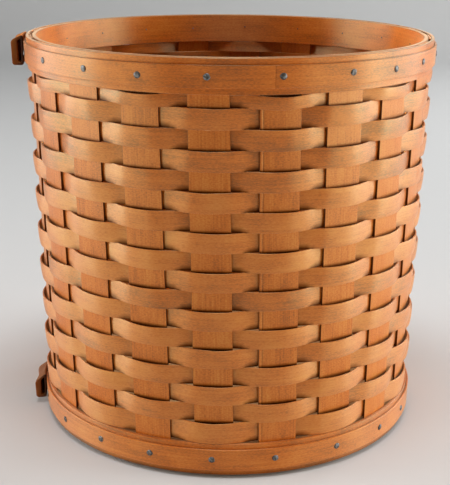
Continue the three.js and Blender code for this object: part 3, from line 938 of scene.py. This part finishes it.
class BASKET_OT_leather_loops(Operator):
    """Folds the two leather loops"""

    bl_idname = "basket.leather_loops"
    bl_label = "Leather Loops"

    def ring(self, leather, corners, rounding):
        """Edges of a closed outline with rounded corners, from depths and heights."""
        before = set(leather.edges)
        verts = [leather.verts.new((0, depth, level)) for depth, level in corners]
        leather.faces.new(verts)
        round_off(leather, verts, rounding, 4, "VERTICES")
        bmesh.ops.delete(leather, geom=leather.faces[:], context="FACES_ONLY")
        return [edge for edge in leather.edges if edge not in before]

    def loop(self, height, drop, darkening):
        """A straight loop: X along the wall, Y outwards, Z up from its bottom."""
        sizes = bpy.context.scene.basket_loops
        depth = sizes.back + sizes.gap + sizes.front
        slope = drop / depth
        opening = sizes.back + sizes.gap
        outside = ((0, 0), (FOOT_DEPTH * depth, 0), (depth, height - drop), (0, height))
        inside = (
            (sizes.back, sizes.fold),
            (opening, sizes.fold),
            (opening, height - slope * opening - sizes.fold),
            (sizes.back, height - slope * sizes.back - sizes.fold),
        )
        leather = bmesh.new()
        edges = self.ring(leather, outside, sizes.outer_rounding)
        edges += self.ring(leather, inside, sizes.opening_rounding)
        bmesh.ops.bridge_loops(leather, edges=edges)
        bmesh.ops.translate(leather, verts=leather.verts, vec=(-sizes.width / 2, 0, 0))
        far = pulled_verts(bmesh.ops.extrude_face_region(leather, geom=leather.faces[:]))
        bmesh.ops.translate(leather, verts=far, vec=(sizes.width, 0, 0))
        bmesh.ops.recalc_face_normals(leather, faces=leather.faces)
        side_edges = [edge for edge in leather.edges if is_corner(edge) and not runs_along(edge, 0)]
        round_off(leather, side_edges, sizes.edge_rounding, 3)
        reach = sizes.width / 2 - 2 * sizes.edge_rounding
        for cut in range(-HALF_LOOP_CUTS, HALF_LOOP_CUTS + 1):
            cut_across(leather, 0, cut / HALF_LOOP_CUTS * reach)
        burnish_and_shade = leather.verts.layers.float.new("edge")
        for vert in leather.verts:
            vert[burnish_and_shade] = darkening
            # The edges are burnished, and painted shade darkens them towards the wall
            if abs(vert.co.x) > reach + TOLERANCE:
                vert[burnish_and_shade] = 1 - EDGE_FADE * vert.co.y / depth
        return leather

    def execute(self, context):
        sizes = context.scene.basket_loops
        finish = make_finish("tanned_leather", tanned_leather)
        for side, bottom, height, drop, face, _ in loop_places():
            leather = self.loop(height, drop, LOOP_DARKENING[side])
            for vert in leather.verts:
                aside, out, level = vert.co
                if out > sizes.back + sizes.gap / 2:
                    out -= sizes.pinch * cos(pi * aside / sizes.width) ** 2
                angle = sizes.angle + aside / face
                # Creases a few millimetres apart, different in the two loops
                crease = noise.noise(Vector((aside * 120, out * 200, level * 160 + bottom)))
                vert.co = at_wall(face + out, angle, bottom + level + CREASE_DEPTH * crease)
            add_piece(f"folded_{side}_loop", leather, finish, [f"{side}_leather_loop"])
        return {"FINISHED"}


class BASKET_OT_tacks(Operator):
    """Sets the tacks that hold the loops"""

    bl_idname = "basket.tacks"
    bl_label = "Tacks"

    def execute(self, context):
        scene = context.scene
        sizes = scene.basket_nails
        loops = scene.basket_loops
        finish = make_finish("dull_steel", dull_steel)
        for side, _, _, _, face, level in loop_places():
            turn = sizes.tack_offset / face
            for number, aside in ((1, -turn), (2, turn)):
                name = f"{side}_tack_{number:02d}"
                metal = bmesh.new()
                seat = face + loops.back - sizes.tack_height / 2
                length = seat - wall_radius(level) - 2 * scene.basket_wall.clearance
                place = outward_from(seat, loops.angle + aside, level)
                chance = random.Random(name)
                drive_nail(metal, sizes.tack_radius, sizes.tack_height, sizes.shank, length, place, chance)
                add_piece(name, metal, finish, [f"{side}_loop_tack_{number:02d}"])
        return {"FINISHED"}


# The paper in metres: width, front edge, start and radius of the bend behind the basket, and top
PAPER_WIDTH = 5.2
PAPER_FRONT = -2.5
BEND_START = 1.9
BEND_RADIUS = 0.7
PAPER_TOP = 2.6
BEND_STEPS = 12
# How far the paper lies below the base, so that a thin shadow shows under it
PAPER_DROP = 1.6 * MILLIMETRE
WHITE = linear_from_hex("FFFFFF")
WARM = linear_from_hex("FFEFD8")
# Spread of the narrow lamps that light only the inside of the basket
BEAM = radians(12)
# Name, place, aim and size of each lamp in metres, its watts, and a colour or spread of its own
LAMPS = (
    ("left_softbox", (-2.2, 0.15, 1), (0, -0.1, 0.2), (1.5, 1.2), 8),
    ("rear_left_softbox", (-1.75, 0.3, 0.48), (0, 0, 0.2), (1.6, 0.8), 21),
    ("right_softbox", (2.2, 0.15, 1), (0, -0.1, 0.2), (1.5, 1.2), 16),
    ("rear_right_softbox", (1.76, 0.22, 0.48), (0, 0, 0.2), (1.6, 0.8), 19.5),
    ("low_left_softbox", (-1, -0.53, 0.17), (0, 0, 0.14), (1, 0.3), 3.7, WARM),
    ("low_right_softbox", (1, -0.53, 0.17), (0, 0, 0.14), (1, 0.3), 4.5, WARM),
    ("left_beam", (-0.8, 0, 0.75), (0.13, -0.03, 0.25), (0.12, 0.12), 0.11, WHITE, BEAM),
    ("right_beam", (0.8, 0, 0.75), (-0.13, -0.03, 0.25), (0.12, 0.12), 0.07, WHITE, BEAM),
    ("rear_softbox", (1.3, 1.2, 0.8), (0.45, 1.4, 0), (0.6, 0.6), 10),
    ("front_softbox", (0, -0.35, 1.9), (0, -0.6, 0), (0.8, 0.5), 17),
)
AIR_COLOUR = linear_from_hex("F0EFEE")
AIR_STRENGTH = 0.08
# The picture's height and the camera's focal length in pixels
IMAGE_HEIGHT = 485
FOCAL_PIXELS = 1092.2
SENSOR_MILLIMETRES = 36
# Where the camera stands in metres, and how far it is turned, tipped down and rolled in radians
CAMERA_PLACE = (0, -0.7682, 0.351)
CAMERA_HEADING = 0.0032
CAMERA_DIP = 0.2953
CAMERA_ROLL = 0.0072


class BASKET_OT_stage(Operator):
    """Sets the floor, the lamps and the camera"""

    bl_idname = "basket.stage"
    bl_label = "Stage"

    def lamp(self, name, place, aim, size, power, colour=WHITE, spread=pi):
        light = bpy.data.lights.new(name, "AREA")
        light.shape = "RECTANGLE"
        light.size, light.size_y = size
        light.energy = power
        light.color = colour[:3]
        light.spread = spread
        lamp = bpy.data.objects.new(name, light)
        lamp.location = place
        lamp.rotation_euler = (Vector(aim) - Vector(place)).to_track_quat("-Z", "Y").to_euler()
        bpy.context.scene.collection.objects.link(lamp)

    def paper(self):
        """A wide sheet that the basket stands on and that bends up behind it."""
        line = [(PAPER_FRONT, 0), (BEND_START, 0)]
        for step in range(1, BEND_STEPS + 1):
            turn = pi / 2 * step / BEND_STEPS
            line.append((BEND_START + BEND_RADIUS * sin(turn), BEND_RADIUS - BEND_RADIUS * cos(turn)))
        line.append((BEND_START + BEND_RADIUS, PAPER_TOP))
        sheet = bmesh.new()
        verts = [sheet.verts.new((-PAPER_WIDTH / 2, depth, level - PAPER_DROP)) for depth, level in line]
        edges = [sheet.edges.new(pair) for pair in zip(verts, verts[1:])]
        far = pulled_verts(bmesh.ops.extrude_edge_only(sheet, edges=edges))
        bmesh.ops.translate(sheet, verts=far, vec=(PAPER_WIDTH, 0, 0))
        body = add_object("paper_sweep", sheet, make_finish("pale_paper", matt_paper))

    def camera(self):
        camera = bpy.data.cameras.new("front_camera")
        camera.lens = FOCAL_PIXELS * SENSOR_MILLIMETRES / IMAGE_HEIGHT
        camera.sensor_width = SENSOR_MILLIMETRES
        eye = bpy.data.objects.new("front_camera", camera)
        turn = Matrix.Rotation(CAMERA_HEADING, 4, "Z")
        turn = turn @ Matrix.Rotation(pi / 2 - CAMERA_DIP, 4, "X") @ Matrix.Rotation(CAMERA_ROLL, 4, "Z")
        eye.matrix_world = Matrix.Translation(CAMERA_PLACE) @ turn
        bpy.context.scene.collection.objects.link(eye)
        bpy.context.scene.camera = eye

    def execute(self, context):
        scene = context.scene
        scene.view_settings.view_transform = "Standard"
        self.paper()
        for lamp in LAMPS:
            self.lamp(*lamp)
        world = bpy.data.worlds.new("studio_air")
        world.use_nodes = True
        scene.world = world
        air = world.node_tree.nodes["Background"]
        air.inputs["Color"].default_value = AIR_COLOUR
        air.inputs["Strength"].default_value = AIR_STRENGTH
        self.camera()
        return {"FINISHED"}


class BASKET_PT_sidebar(Panel):
    """Lists the steps of the basket and its sizes"""

    bl_idname = "BASKET_PT_sidebar"
    bl_label = "Canister Basket"
    bl_space_type = "VIEW_3D"
    bl_region_type = "UI"
    bl_category = "Basket"

    def draw(self, context):
        column = self.layout.column()
        for step in OPERATORS:
            column.operator(step.bl_idname)
        for name in GROUPS:
            group = getattr(context.scene, name)
            box = self.layout.box()
            for size in group.__annotations__:
                box.prop(group, size)


GROUPS = {
    "basket_wall": BasketWall,
    "basket_uprights": BasketUprights,
    "basket_weavers": BasketWeavers,
    "basket_bands": BasketBands,
    "basket_bottom": BasketBottom,
    "basket_nails": BasketNails,
    "basket_loops": BasketLoops,
    "basket_finishes": BasketFinishes,
}
OPERATORS = (
    BASKET_OT_stage,
    BASKET_OT_uprights,
    BASKET_OT_weavers,
    BASKET_OT_bands,
    BASKET_OT_bottom_board,
    BASKET_OT_nails,
    BASKET_OT_leather_loops,
    BASKET_OT_tacks,
)
CLASSES = (*GROUPS.values(), *OPERATORS, BASKET_PT_sidebar)


def register():
    for item in CLASSES:
        bpy.utils.register_class(item)
    for name, group in GROUPS.items():
        setattr(bpy.types.Scene, name, PointerProperty(type=group))


def unregister():
    for name in GROUPS:
        delattr(bpy.types.Scene, name)
    for item in reversed(CLASSES):
        bpy.utils.unregister_class(item)


def main():
    register()
    bpy.ops.basket.stage()
    bpy.ops.basket.uprights()
    bpy.ops.basket.weavers()
    bpy.ops.basket.bands()
    bpy.ops.basket.bottom_board()
    bpy.ops.basket.nails()
    bpy.ops.basket.leather_loops()
    bpy.ops.basket.tacks()


if __name__ == "__main__":
    main()
